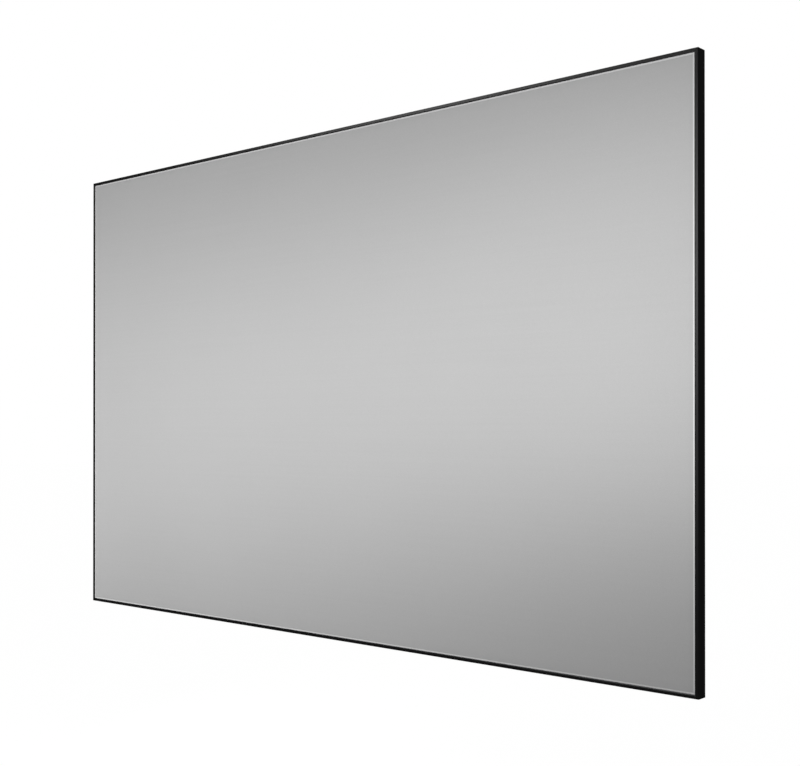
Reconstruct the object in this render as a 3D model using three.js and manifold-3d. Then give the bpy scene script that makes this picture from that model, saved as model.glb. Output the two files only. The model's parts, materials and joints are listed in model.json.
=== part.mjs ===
// Fixed frame projector screen, 100 inch class, 16:10, in millimetres.
// +Z is up, the viewer stands at -Y, and the origin is the middle of the frame's box.
// A sheet wraps round an aluminium frame, springs pull it tight at the back,
// and a thin black trim clips over the edge.
import * as THREE from 'three';
import { mergeVertices } from 'three/addons/utils/BufferGeometryUtils.js';
import Module from 'manifold-3d';

// Picture area, and the black line that shows round it
const VIEW_WIDTH = 2154;
const VIEW_HEIGHT = 1346;
const BEZEL_FACE = 9;
const FRAME_DEPTH = 30;

// Clearances between pieces that touch
const FIT = 0.3;
const MITRE_GAP = 0.4;
const BUTT_GAP = 0.3;

// Clip-on trim
const TRIM_WALL = 1.5;
const TRIM_LIP = 1.5;
const TRIM_ROUND = 0.9;
const TRIM_BEVEL_WIDTH = 2.2;
const TRIM_BEVEL_DROP = 0.8;
const TRIM_WALL_CLEARANCE = 0.5;
const CLIP_REACH = 1.8;
const CLIP_RAMP = 2.6;

// Frame rail, an aluminium extrusion with two long cells
const RAIL_WIDTH = 47;
const RAIL_WALL = 1.8;
const RAIL_ROUND = 1.6;
const EDGE_LAND = 4;
const EDGE_DROP = 2;
const FRONT_FALL = 1.8;
const SPRING_SPACE = 8;
const HANG_SLOT_DEPTH = 4.2;
const LIP_ROOM = 4.2;
const LIP_RISE = 1;

// Projection sheet with its sewn rod pocket
const SHEET = 0.6;
const SHEET_BEND = 1.3;
const SHEET_CORNER_GAP = 3;
const PANEL_OVERLAP = 4;
const FOLD_REACH = 14;
const POCKET_EASE = 0.5;
const POCKET_NOTCH = 9;

// Tension rods and springs
const ROD_DIAMETER = 3;
const ROD_CORNER_GAP = 8;
const SPRING_DIAMETER = 6;
const SPRING_PITCH = 230;
const SPRING_COILS = 4;
const SPRING_WIRE = 1.2;
const SPRING_CLEAR = 18;
const LOOP_LENGTH = 4;

// Corner inserts, splice bars and their screws
const INSERT_WIDTH = 26;
const INSERT_ARM = 112;
const INSERT_CHAMFER = 3;
const SPLICE_LENGTH = 240;
const SCREW_DIAMETER = 4;
const SCREW_LENGTH = 8;
const HEAD_DIAMETER = 8;
const HEAD_HEIGHT = 2.4;
const HEAD_CROWN = 0.7;
const SCREW_END = 14;
const SCREW_STEP = 32;

// Upright support bar at the middle of the frame
const BAR_WIDTH = 26;
const BAR_DEPTH = 12;
const BAR_WALL = 1.5;
const TIE_WIDTH = 40;
const TIE_THICKNESS = 2;
const TIE_REACH = 66;

// Wall brackets
const BRACKET_OFFSET = 600;
const BRACKET_WIDTH = 70;
const BRACKET_STEEL = 2;
const BRACKET_BEND = 2.5;
const BRACKET_TONGUE = 6;
const BRACKET_STEP = 4;
const BRACKET_PLATE = 44;
const BRACKET_CORNER = 6;
const SLOT_WIDTH = 5.5;
const SLOT_LENGTH = 13;
const SLOT_SPACING = 40;

// Facet counts
const ROUND_STEPS = 3;
const BEND_STEPS = 3;
const SCREW_SIDES = 8;
const SPRING_SIDES = 6;
const POCKET_SIDES = 6;
const ROD_SIDES = 6;
const SLOT_STEPS = 4;

const QUARTER = Math.PI / 2;

// Whole frame
const width = VIEW_WIDTH + 2 * BEZEL_FACE;
const height = VIEW_HEIGHT + 2 * BEZEL_FACE;

// A section is drawn with u, the distance in from the trim's outer side,
// and v, the distance back from the trim's front.
const sheetSide = TRIM_WALL + FIT;
const sheetFront = TRIM_LIP + FIT;
const railSide = sheetSide + SHEET + FIT;
const railFront = sheetFront + SHEET + FIT;
const railInner = railSide + RAIL_WIDTH;
const boxBack = FRAME_DEPTH - SPRING_SPACE;
const stepEnd = railSide + EDGE_LAND + EDGE_DROP;
const slotWall = railInner - HANG_SLOT_DEPTH - RAIL_WALL;
const lipInner = slotWall - LIP_ROOM;
const lipOuter = lipInner - RAIL_WALL;
const insertInner = railInner - RAIL_WALL - FIT;
const insertOuter = insertInner - INSERT_WIDTH;
const webInner = insertOuter - FIT;
const webOuter = webInner - RAIL_WALL;
const foldBack = boxBack + FIT + SHEET;

// The rods and springs lie behind the box, all on one axis
const pocketInner = ROD_DIAMETER / 2 + POCKET_EASE;
const pocketOuter = pocketInner + SHEET;
const tensionBack = boxBack + FIT + Math.max(pocketOuter, SPRING_DIAMETER / 2);
const rodInset = sheetSide + FOLD_REACH + pocketOuter;
const lipBack = tensionBack + LIP_RISE;

// Screws sit between the rod pocket and the spring lip
const screwInset = lipOuter - 1 - HEAD_DIAMETER / 2;
const holeRadius = (SCREW_DIAMETER / 2 + FIT) / Math.cos(Math.PI / SCREW_SIDES);
const screwPlaces = [INSERT_ARM - SCREW_END - SCREW_STEP, INSERT_ARM - SCREW_END];
const spliceInner = SCREW_END + SCREW_STEP;
const splicePlaces = [-SPLICE_LENGTH / 2 + SCREW_END, -spliceInner, spliceInner, SPLICE_LENGTH / 2 - SCREW_END];

const SIDES = [
  { name: 'top', length: width, reach: height / 2, corner: 'top_left', halves: ['left', 'right'] },
  { name: 'right', length: height, reach: width / 2, corner: 'top_right', halves: null },
  { name: 'bottom', length: width, reach: height / 2, corner: 'bottom_right', halves: ['right', 'left'] },
  { name: 'left', length: height, reach: width / 2, corner: 'bottom_left', halves: null },
];

const wasm = await Module();
wasm.setup();

const blackAnodised = { color: 0x1b1c1e, roughness: 0.42, metalness: 0.6 };
const plainAluminium = { color: 0x8f9294, roughness: 0.5, metalness: 0.9 };
const castAluminium = { color: 0xa3a5a6, roughness: 0.6, metalness: 0.8 };
const greySheet = { color: 0xbdbdbd, roughness: 0.7, metalness: 0 };
const springSteel = { color: 0xa8adb2, roughness: 0.35, metalness: 1 };
const blackSteel = { color: 0x232425, roughness: 0.5, metalness: 0.7 };
const zincSteel = { color: 0xb4b8ba, roughness: 0.4, metalness: 1 };

const screen = new THREE.Group();
screen.position.y = -FRAME_DEPTH / 2;

// Solids from geometries and back
function solid(geometry) {
  const bare = geometry.clone();
  bare.deleteAttribute('normal');
  bare.deleteAttribute('uv');
  const merged = mergeVertices(bare, 1e-4);
  return new wasm.Manifold(new wasm.Mesh({
    numProp: 3,
    vertProperties: Float32Array.from(merged.attributes.position.array),
    triVerts: Uint32Array.from(merged.index.array),
  }));
}

function geometryOf(body) {
  const mesh = body.getMesh();
  const geometry = new THREE.BufferGeometry();
  geometry.setAttribute('position', new THREE.BufferAttribute(mesh.vertProperties, 3));
  geometry.setIndex(new THREE.BufferAttribute(mesh.triVerts, 1));
  const flat = geometry.toNonIndexed();
  flat.computeVertexNormals();
  return flat;
}

function joined(geometries) {
  return geometries.map(solid).reduce((whole, piece) => whole.add(piece));
}

function cut(geometry, cutters) {
  const body = cutters.map(solid).reduce((rest, piece) => rest.subtract(piece), solid(geometry));
  return geometryOf(body);
}

function addMesh(group, name, geometry, finish) {
  const mesh = new THREE.Mesh(geometry, new THREE.MeshStandardMaterial(finish));
  mesh.name = name;
  group.add(mesh);
  return mesh;
}

// A side's own frame: +X runs along the side, +Y goes back, and -Z goes in from the outer edge.
function sideMatrix(index) {
  const angle = index * QUARTER;
  const reach = SIDES[index].reach;
  const turn = new THREE.Matrix4().makeRotationY(angle);
  return turn.setPosition(Math.sin(angle) * reach, 0, Math.cos(angle) * reach);
}

// Runs a section from one place to another along a side, with mitred or square ends.
function runSection(section, from, to, fromGap, toGap) {
  const geometry = new THREE.ExtrudeGeometry(section, { depth: to - from, bevelEnabled: false, steps: 1 });
  geometry.rotateY(QUARTER);
  geometry.translate(from, 0, 0);
  const place = geometry.attributes.position;
  const middle = (from + to) / 2;
  for (let i = 0; i < place.count; i += 1) {
    const inset = -place.getZ(i);
    const x = place.getX(i);
    const gap = x < middle ? fromGap : toGap;
    if (gap !== null) {
      place.setX(i, x < middle ? x + inset + gap : x - inset - gap);
    }
  }
  return geometry;
}

function mitred(section, length, gap) {
  const pull = gap / 2 * Math.SQRT2;
  return runSection(section, -length / 2, length / 2, pull, pull);
}

// A flat outline in (x along, inset) made thick from one depth to another.
function plate(outline, front, back) {
  const geometry = new THREE.ExtrudeGeometry(outline, {
    depth: back - front, bevelEnabled: false, curveSegments: SLOT_STEPS,
  });
  geometry.rotateX(QUARTER);
  geometry.translate(0, back, 0);
  return geometry;
}

function drill(x, inset, radius, front, back) {
  const geometry = new THREE.CylinderGeometry(radius, radius, back - front, SCREW_SIDES);
  geometry.translate(x, (front + back) / 2, -inset);
  return geometry;
}

// The middle line of a bent strip, with each inner corner rounded where there is a radius.
function roundedLine(points, radius) {
  if (radius === 0) {
    return points;
  }
  const line = [points[0]];
  for (let i = 1; i < points.length - 1; i += 1) {
    const before = points[i - 1].clone().sub(points[i]).normalize();
    const after = points[i + 1].clone().sub(points[i]).normalize();
    const half = before.angleTo(after) / 2;
    const setback = radius / Math.tan(half);
    const start = points[i].clone().addScaledVector(before, setback);
    const end = points[i].clone().addScaledVector(after, setback);
    const bend = new THREE.QuadraticBezierCurve(start, points[i], end);
    line.push(...bend.getPoints(BEND_STEPS));
  }
  line.push(points[points.length - 1]);
  return line;
}

// A strip of even thickness along a line, as a closed outline.
function stripShape(points, thickness, radius) {
  const line = roundedLine(points.map(([u, v]) => new THREE.Vector2(u, v)), radius);
  const normals = [];
  for (let i = 1; i < line.length; i += 1) {
    const run = line[i].clone().sub(line[i - 1]).normalize();
    normals.push(new THREE.Vector2(-run.y, run.x));
  }
  const left = [];
  const right = [];
  line.forEach((point, i) => {
    const a = normals[Math.max(0, i - 1)];
    const b = normals[Math.min(normals.length - 1, i)];
    const mitre = a.clone().add(b).divideScalar(1 + a.dot(b));
    left.push(point.clone().addScaledVector(mitre, thickness / 2));
    right.push(point.clone().addScaledVector(mitre, -thickness / 2));
  });
  return new THREE.Shape([...left, ...right.reverse()]);
}

function outline(points) {
  return new THREE.Shape(points.map(([u, v]) => new THREE.Vector2(u, v)));
}

// Points of a rounded outer corner, from one angle through a quarter turn.
function quarterRound(u, v, radius, start) {
  const points = [];
  for (let i = 0; i <= ROUND_STEPS; i += 1) {
    const angle = start + QUARTER * i / ROUND_STEPS;
    points.push([u + radius * Math.cos(angle), v + radius * Math.sin(angle)]);
  }
  return points;
}

// The trim: a full-depth side wall, a front lip with a bevelled inner edge,
// and a clip hook that catches behind the wrapped rail.
function trimSection() {
  const back = FRAME_DEPTH - TRIM_WALL_CLEARANCE;
  const hook = foldBack + FIT;
  return outline([
    ...quarterRound(TRIM_ROUND, TRIM_ROUND, TRIM_ROUND, Math.PI),
    [BEZEL_FACE - TRIM_BEVEL_WIDTH, 0],
    [BEZEL_FACE, TRIM_BEVEL_DROP],
    [BEZEL_FACE, TRIM_LIP],
    [TRIM_WALL, TRIM_LIP],
    [TRIM_WALL, hook],
    [TRIM_WALL + CLIP_REACH, hook],
    [TRIM_WALL, hook + CLIP_RAMP],
    [TRIM_WALL, back],
    [0, back],
  ]);
}

// How far back the rail's front web lies at an inset
function webFront(inset) {
  const share = (inset - stepEnd) / (railInner - stepEnd);
  return railFront + EDGE_DROP + FRONT_FALL * share;
}

function cell(outer, inner) {
  const front = (inset) => webFront(inset) + RAIL_WALL;
  const flat = Math.max(outer, stepEnd);
  const back = boxBack - RAIL_WALL;
  return new THREE.Path([
    new THREE.Vector2(outer, front(flat)),
    new THREE.Vector2(flat, front(flat)),
    new THREE.Vector2(inner, front(inner)),
    new THREE.Vector2(inner, back),
    new THREE.Vector2(outer, back),
  ].filter((point, i) => i !== 1 || flat > outer));
}

// The rail: a box with a raised front edge that the sheet bears on, a lip for the
// springs behind it, and a slot along the inner edge for the brackets.
function railSection() {
  const section = outline([
    ...quarterRound(railSide + RAIL_ROUND, railFront + RAIL_ROUND, RAIL_ROUND, Math.PI),
    [railSide + EDGE_LAND, railFront],
    [stepEnd, railFront + EDGE_DROP],
    [railInner, webFront(railInner)],
    [railInner, boxBack],
    [slotWall + RAIL_WALL, boxBack],
    [slotWall + RAIL_WALL, FRAME_DEPTH - RAIL_WALL],
    [railInner, FRAME_DEPTH - RAIL_WALL],
    [railInner, FRAME_DEPTH],
    [slotWall, FRAME_DEPTH],
    [slotWall, boxBack],
    [lipInner, boxBack],
    [lipInner, lipBack],
    [lipOuter, lipBack],
    [lipOuter, boxBack],
    ...quarterRound(railSide + RAIL_ROUND, boxBack - RAIL_ROUND, RAIL_ROUND, QUARTER),
  ]);
  section.holes.push(cell(railSide + RAIL_WALL, webOuter));
  section.holes.push(cell(webInner, railInner - RAIL_WALL));
  return section;
}

// The sheet's wrapped edge runs from the front panel round the rail to the rod pocket.
function wrapSection() {
  const middleSide = sheetSide + SHEET / 2;
  return stripShape([
    [BEZEL_FACE + PANEL_OVERLAP, sheetFront + SHEET / 2],
    [middleSide, sheetFront + SHEET / 2],
    [middleSide, foldBack - SHEET / 2],
    [rodInset - 2 * pocketOuter, foldBack - SHEET / 2],
    [rodInset, tensionBack - pocketOuter + SHEET / 2],
  ], SHEET, SHEET_BEND);
}

function circlePoints(u, v, radius, sides) {
  const outer = radius / Math.cos(Math.PI / sides);
  return Array.from({ length: sides }, (_, i) => {
    const angle = Math.PI * (2 * i + 1) / sides;
    return new THREE.Vector2(u + outer * Math.cos(angle), v + outer * Math.sin(angle));
  });
}

function pocketSection() {
  const section = new THREE.Shape(circlePoints(rodInset, tensionBack, pocketOuter, POCKET_SIDES));
  section.holes.push(new THREE.Path(circlePoints(rodInset, tensionBack, pocketInner, POCKET_SIDES)));
  return section;
}

function evenPlaces(from, to) {
  const gaps = Math.max(1, Math.round((to - from) / SPRING_PITCH));
  return Array.from({ length: gaps + 1 }, (_, i) => from + (to - from) * i / gaps);
}

// Springs keep clear of the corner inserts' screws and of a splice.
function springPlaces(side) {
  const end = side.length / 2 - INSERT_ARM - SPRING_CLEAR;
  if (side.halves === null) {
    return evenPlaces(-end, end);
  }
  const right = evenPlaces(SPLICE_LENGTH / 2 + SPRING_CLEAR, end);
  return [...right.map((x) => -x).reverse(), ...right];
}

function sheetGeometry() {
  const inset = BEZEL_FACE;
  const panel = new THREE.BoxGeometry(width - 2 * inset, SHEET, height - 2 * inset);
  panel.translate(0, sheetFront + SHEET / 2, 0);
  let body = solid(panel);
  SIDES.forEach((side, index) => {
    const wrap = mitred(wrapSection(), side.length, SHEET_CORNER_GAP);
    const half = side.length / 2 - rodInset - pocketOuter - SHEET_CORNER_GAP;
    const pocket = runSection(pocketSection(), -half, half, null, null);
    const notches = springPlaces(side).map((x) => {
      const notch = new THREE.BoxGeometry(POCKET_NOTCH, SPRING_SPACE, 4 * pocketOuter);
      return notch.translate(x, boxBack + SPRING_SPACE / 2, -(rodInset + pocketOuter));
    });
    const edge = notches.map(solid).reduce((rest, piece) => rest.subtract(piece), joined([wrap, pocket]));
    body = body.add(solid(geometryOf(edge).applyMatrix4(sideMatrix(index))));
  });
  return geometryOf(body);
}

// One spring with the loop that grips the rod and the hook that goes over the rail's lip
function springGeometries(x) {
  const start = rodInset + ROD_DIAMETER / 2 + SPRING_WIRE + LOOP_LENGTH / 2;
  const end = lipOuter - FIT - SPRING_WIRE - LOOP_LENGTH / 2;
  const pitch = (end - start) / SPRING_COILS;
  const outer = SPRING_DIAMETER / 2;
  const inner = outer - SPRING_WIRE / 2;
  const profile = [new THREE.Vector2(0, 0), new THREE.Vector2(inner, 0)];
  for (let i = 0; i < SPRING_COILS; i += 1) {
    profile.push(new THREE.Vector2(outer, (i + 0.5) * pitch));
    profile.push(new THREE.Vector2(inner, (i + 1) * pitch));
  }
  profile.push(new THREE.Vector2(0, end - start));
  const coils = new THREE.LatheGeometry(profile, SPRING_SIDES);
  coils.rotateX(QUARTER);
  coils.translate(x, tensionBack, -end);
  const eyeRadius = ROD_DIAMETER / 2 + SPRING_WIRE;
  const eye = new THREE.CylinderGeometry(eyeRadius, eyeRadius, SPRING_WIRE, SPRING_SIDES);
  eye.rotateZ(QUARTER);
  eye.translate(x, tensionBack, -rodInset);
  const shank = new THREE.BoxGeometry(SPRING_WIRE, SPRING_WIRE, start - rodInset + SPRING_WIRE);
  shank.translate(x, tensionBack, -(rodInset + start + SPRING_WIRE) / 2);
  const hookBack = lipBack + FIT + SPRING_WIRE / 2;
  const hookInner = lipInner + FIT + SPRING_WIRE / 2;
  const hook = runSection(stripShape([
    [end - SPRING_WIRE, tensionBack],
    [lipOuter - FIT - SPRING_WIRE / 2, tensionBack],
    [lipOuter - FIT - SPRING_WIRE / 2, hookBack],
    [hookInner, hookBack],
    [hookInner, tensionBack - SPRING_WIRE],
  ], SPRING_WIRE, 0), x - SPRING_WIRE / 2, x + SPRING_WIRE / 2, null, null);
  return [coils, eye, shank, hook];
}

function rodGeometry(side) {
  const length = side.length - 2 * (rodInset + pocketOuter + ROD_CORNER_GAP);
  const rod = new THREE.CylinderGeometry(ROD_DIAMETER / 2, ROD_DIAMETER / 2, length, ROD_SIDES);
  rod.rotateZ(QUARTER);
  rod.translate(0, tensionBack, -rodInset);
  return geometryOf(joined([rod, ...springPlaces(side).flatMap(springGeometries)]));
}

// A low round-headed screw, head to the back
function screwGeometry() {
  const shank = SCREW_DIAMETER / 2;
  const head = HEAD_DIAMETER / 2;
  const profile = [
    [0, -SCREW_LENGTH],
    [shank, -SCREW_LENGTH],
    [shank, 0],
    [head, 0],
    [head, HEAD_HEIGHT / 3],
    [head * HEAD_CROWN, HEAD_HEIGHT],
    [0, HEAD_HEIGHT],
  ].map(([radius, y]) => new THREE.Vector2(radius, y));
  return new THREE.LatheGeometry(profile, SCREW_SIDES);
}

function addScrew(group, name, x, inset, seat) {
  const screw = addMesh(group, name, screwGeometry(), blackSteel);
  screw.position.set(x, seat + FIT, -inset);
}

function railHoles(side) {
  const ends = screwPlaces.flatMap((place) => [place - side.length / 2, side.length / 2 - place]);
  const middle = side.halves === null ? [] : splicePlaces;
  return [...ends, ...middle].map((x) => drill(x, screwInset, holeRadius, boxBack - 2 * RAIL_WALL, boxBack + 1));
}

// Corner insert: an L of cast aluminium in the inner cells of two rails
function insertGeometry(side) {
  const corner = side.length / 2;
  const near = insertOuter;
  const far = insertInner;
  const tip = INSERT_ARM;
  const slope = INSERT_CHAMFER;
  const points = [
    [near, near], [tip - slope, near], [tip, near + slope], [tip, far - slope], [tip - slope, far],
    [far, far], [far, tip - slope], [far - slope, tip], [near + slope, tip], [near, tip - slope],
  ];
  const shape = new THREE.Shape(points.map(([a, b]) => new THREE.Vector2(a - corner, -b)));
  const holes = screwPlaces.flatMap((place) => [[place, screwInset], [screwInset, place]]);
  return cut(plate(shape, insertFront(), insertBack()), holes.map(([a, b]) => insertHole(a - corner, b)));
}

function insertFront() {
  return webFront(railInner - RAIL_WALL) + RAIL_WALL + FIT;
}

function insertBack() {
  return boxBack - RAIL_WALL - FIT;
}

function insertHole(x, inset) {
  return drill(x, inset, holeRadius, insertFront() - 1, insertBack() + 1);
}

function spliceGeometry() {
  const half = SPLICE_LENGTH / 2;
  const slope = INSERT_CHAMFER;
  const points = [
    [-half, insertOuter + slope], [-half + slope, insertOuter], [half - slope, insertOuter],
    [half, insertOuter + slope], [half, insertInner - slope], [half - slope, insertInner],
    [-half + slope, insertInner], [-half, insertInner - slope],
  ];
  const shape = new THREE.Shape(points.map(([x, inset]) => new THREE.Vector2(x, -inset)));
  return cut(plate(shape, insertFront(), insertBack()), splicePlaces.map((x) => insertHole(x, screwInset)));
}

// Wall bracket: a bent steel strip whose tongue enters the rail's slot, with its
// plate flat on the wall and two slots for wall screws.
function bracketGeometry(x) {
  const slotFront = boxBack;
  const slotBack = FRAME_DEPTH - RAIL_WALL;
  const tongue = (slotFront + slotBack) / 2;
  const wall = FRAME_DEPTH - BRACKET_STEEL / 2;
  const tip = slotWall + RAIL_WALL + FIT;
  const knee = railInner + FIT + BRACKET_TONGUE / 2;
  const end = knee + BRACKET_STEP + BRACKET_PLATE;
  const strip = stripShape(
    [[tip, tongue], [knee, tongue], [knee + BRACKET_STEP, wall], [end, wall]],
    BRACKET_STEEL,
    BRACKET_BEND,
  );
  const bent = runSection(strip, x - BRACKET_WIDTH / 2, x + BRACKET_WIDTH / 2, null, null);
  const slotInset = (knee + BRACKET_STEP + end) / 2;
  const slots = [-1, 1].map((way) => wallSlot(x + way * SLOT_SPACING / 2, slotInset));
  const corners = [-1, 1].map((way) => cornerWedge(x, way, end));
  return cut(bent, [...slots, ...corners]);
}

function wallSlot(x, inset) {
  const radius = SLOT_WIDTH / 2;
  const run = (SLOT_LENGTH - SLOT_WIDTH) / 2;
  const shape = new THREE.Shape();
  shape.absarc(x + run, -inset, radius, -QUARTER, QUARTER, false);
  shape.absarc(x - run, -inset, radius, QUARTER, 3 * QUARTER, false);
  return plate(shape, boxBack, FRAME_DEPTH + 1);
}

function cornerWedge(x, way, end) {
  const edge = x + way * BRACKET_WIDTH / 2;
  const points = [[edge - way * BRACKET_CORNER, -end], [edge, -end + BRACKET_CORNER], [edge, -end]];
  const grown = points.map(([px, pz]) => new THREE.Vector2(px, pz));
  grown[0].y -= 1;
  grown[1].x += way;
  grown[2].x += way;
  grown[2].y -= 1;
  const shape = new THREE.Shape(way < 0 ? grown.reverse() : grown);
  return plate(shape, boxBack, FRAME_DEPTH + 1);
}

// Support bar: a rectangular tube between the long rails, behind the sheet
function addSupportBar() {
  const length = height - 2 * (railInner + FIT);
  const half = BAR_WIDTH / 2;
  const wall = BAR_WALL;
  const section = outline([[-half, 0], [half, 0], [half, BAR_DEPTH], [-half, BAR_DEPTH]]);
  section.holes.push(new THREE.Path([
    new THREE.Vector2(-half + wall, wall),
    new THREE.Vector2(half - wall, wall),
    new THREE.Vector2(half - wall, BAR_DEPTH - wall),
    new THREE.Vector2(-half + wall, BAR_DEPTH - wall),
  ]));
  const tube = new THREE.ExtrudeGeometry(section, { depth: length, bevelEnabled: false });
  tube.translate(0, boxBack - BAR_DEPTH, -length / 2);
  const holes = [-1, 1].flatMap((way) => tiePlaces().map((inset) => {
    const place = way * (height / 2 - inset);
    return drill(0, -place, holeRadius, boxBack - 2 * wall, boxBack + 1);
  }));
  addMesh(screen, 'support_bar', cut(tube, holes), plainAluminium);
}

function tiePlaces() {
  const end = railInner + TIE_REACH - SCREW_END;
  return [end - SCREW_STEP, end];
}

// A flat tie that joins the support bar to the slot of a long rail
function tieGeometry() {
  const half = TIE_WIDTH / 2;
  const tip = slotWall + RAIL_WALL + FIT;
  const end = railInner + TIE_REACH;
  const slope = INSERT_CHAMFER;
  const points = [
    [-half, tip], [half, tip], [half, end - slope], [half - slope, end], [-half + slope, end], [-half, end - slope],
  ];
  const shape = new THREE.Shape(points.map(([x, inset]) => new THREE.Vector2(x, -inset)).reverse());
  const front = boxBack + FIT;
  const back = front + TIE_THICKNESS;
  return cut(plate(shape, front, back), tiePlaces().map((inset) => drill(0, inset, holeRadius, front - 1, back + 1)));
}

function addRails(group, side) {
  const pull = MITRE_GAP / 2 * Math.SQRT2;
  const half = side.length / 2;
  const holes = railHoles(side);
  if (side.halves === null) {
    const rail = mitred(railSection(), side.length, MITRE_GAP);
    addMesh(group, `rail_${side.name}`, cut(rail, holes), blackAnodised);
    return;
  }
  const first = runSection(railSection(), -half, -BUTT_GAP / 2, pull, null);
  const second = runSection(railSection(), BUTT_GAP / 2, half, null, pull);
  addMesh(group, `rail_${side.name}_${side.halves[0]}`, cut(first, holes), blackAnodised);
  addMesh(group, `rail_${side.name}_${side.halves[1]}`, cut(second, holes), blackAnodised);
}

function addLongSidePieces(group, side) {
  addMesh(group, `splice_bar_${side.name}`, spliceGeometry(), castAluminium);
  splicePlaces.forEach((x, i) => {
    addScrew(group, `splice_screw_${side.name}_${i + 1}`, x, screwInset, boxBack);
  });
  addMesh(group, `support_tie_${side.name}`, tieGeometry(), zincSteel);
  tiePlaces().forEach((inset, i) => {
    addScrew(group, `support_screw_${side.name}_${i + 1}`, 0, inset, boxBack + FIT + TIE_THICKNESS);
  });
  side.halves.forEach((half, i) => {
    const x = (i === 0 ? -1 : 1) * BRACKET_OFFSET;
    addMesh(group, `wall_bracket_${side.name}_${half}`, bracketGeometry(x), zincSteel);
  });
}

function addSide(side, index) {
  const group = new THREE.Group();
  group.applyMatrix4(sideMatrix(index));
  screen.add(group);
  addMesh(group, `bezel_trim_${side.name}`, mitred(trimSection(), side.length, MITRE_GAP), blackAnodised);
  addRails(group, side);
  addMesh(group, `corner_insert_${side.corner}`, insertGeometry(side), castAluminium);
  const corner = -side.length / 2;
  const screws = screwPlaces.flatMap((place) => [[place, screwInset], [screwInset, place]]);
  screws.forEach(([a, b], i) => {
    addScrew(group, `corner_screw_${side.corner}_${i + 1}`, corner + a, b, boxBack);
  });
  addMesh(group, `tension_rod_${side.name}`, rodGeometry(side), springSteel);
  if (side.halves !== null) {
    addLongSidePieces(group, side);
  }
}

addMesh(screen, 'projection_sheet', sheetGeometry(), greySheet);
SIDES.forEach(addSide);
addSupportBar();

export default screen;
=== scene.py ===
import json
import math

import bmesh
import bpy
from mathutils import Matrix, Vector

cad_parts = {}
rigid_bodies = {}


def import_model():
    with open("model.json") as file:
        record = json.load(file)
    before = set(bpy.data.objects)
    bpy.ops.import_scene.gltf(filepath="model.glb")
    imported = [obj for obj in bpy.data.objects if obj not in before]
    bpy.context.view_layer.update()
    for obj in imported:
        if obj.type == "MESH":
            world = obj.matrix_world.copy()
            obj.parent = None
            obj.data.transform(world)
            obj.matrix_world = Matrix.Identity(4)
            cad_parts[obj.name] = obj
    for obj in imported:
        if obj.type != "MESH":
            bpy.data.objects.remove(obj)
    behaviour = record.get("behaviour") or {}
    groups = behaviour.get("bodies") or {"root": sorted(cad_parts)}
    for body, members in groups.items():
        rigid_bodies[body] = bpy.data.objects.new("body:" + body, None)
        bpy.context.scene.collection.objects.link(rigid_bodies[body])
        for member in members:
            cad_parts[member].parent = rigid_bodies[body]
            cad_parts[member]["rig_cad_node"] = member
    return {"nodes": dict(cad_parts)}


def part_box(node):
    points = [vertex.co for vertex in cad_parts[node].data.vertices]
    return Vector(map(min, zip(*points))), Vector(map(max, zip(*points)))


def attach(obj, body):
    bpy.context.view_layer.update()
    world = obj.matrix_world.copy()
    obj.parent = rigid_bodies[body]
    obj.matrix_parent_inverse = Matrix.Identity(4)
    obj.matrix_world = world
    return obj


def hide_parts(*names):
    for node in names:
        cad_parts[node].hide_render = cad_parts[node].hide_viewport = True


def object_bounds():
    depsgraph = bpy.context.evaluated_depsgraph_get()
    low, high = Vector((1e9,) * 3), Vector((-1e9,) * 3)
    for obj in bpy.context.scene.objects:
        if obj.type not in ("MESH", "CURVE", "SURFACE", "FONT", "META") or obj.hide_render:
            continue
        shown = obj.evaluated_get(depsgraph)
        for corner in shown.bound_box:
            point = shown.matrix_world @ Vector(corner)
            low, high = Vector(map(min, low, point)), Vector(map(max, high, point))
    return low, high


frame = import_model()
cad_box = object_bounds()

MM = 0.001
QUARTER = math.pi / 2

# Sizes of the edge in millimetres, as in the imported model. An inset runs in from the trim's outer
# side, and a depth runs back from the trim's front.
FRAME_DEPTH = 30.0
BOX_BACK = FRAME_DEPTH - 8.0
BEZEL_FACE = 9.0
PALE_MARGIN = 3.6
FIT = 0.3
SHEET = 0.6
SHEET_SIDE = 1.8
SHEET_FRONT = 1.8
SHEET_BEND = 1.6
FOLD_DEPTH = BOX_BACK + FIT
ROD_INSET = 18.4
ROD_DEPTH = BOX_BACK + 3.3
ROD_DIAMETER = 3.0
ROD_CORNER_GAP = 29.0
LIP_OUTER = 37.7
LIP_INNER = 39.5
LIP_DEPTH = ROD_DEPTH + 1.0
INSERT_ARM = 112.0
SPLICE_LENGTH = 240.0
SPRING_CLEAR = 18.0
SPRING_PITCH = 230.0
SCREW_HEAD = 8.0
SCREW_HEAD_HEIGHT = 2.4

# Edges that turn more sharply than this, in degrees, stay crisp. A wire's few sides need more.
CREASE = 40.0
WIRE_CREASE = 70.0

lowest, highest = cad_box
WIDTH = (highest.x - lowest.x) / MM
HEIGHT = (highest.z - lowest.z) / MM
FRONT = lowest.y

# Each side is worked out as the top one, then turned about Y by so many quarters
SIDES = [
    {"name": "top", "length": WIDTH, "reach": HEIGHT / 2, "turn": 0, "long": True},
    {"name": "right", "length": HEIGHT, "reach": WIDTH / 2, "turn": 1, "long": False},
    {"name": "bottom", "length": WIDTH, "reach": HEIGHT / 2, "turn": 2, "long": True},
    {"name": "left", "length": HEIGHT, "reach": WIDTH / 2, "turn": 3, "long": False},
]


def side_point(side, along, inset, depth):
    """A point given along a side, in from its outer edge and back from the front, in metres."""
    angle = side["turn"] * QUARTER
    out = side["reach"] - inset
    x = along * math.cos(angle) + out * math.sin(angle)
    z = out * math.cos(angle) - along * math.sin(angle)
    return Vector((x * MM, FRONT + depth * MM, z * MM))


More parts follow.
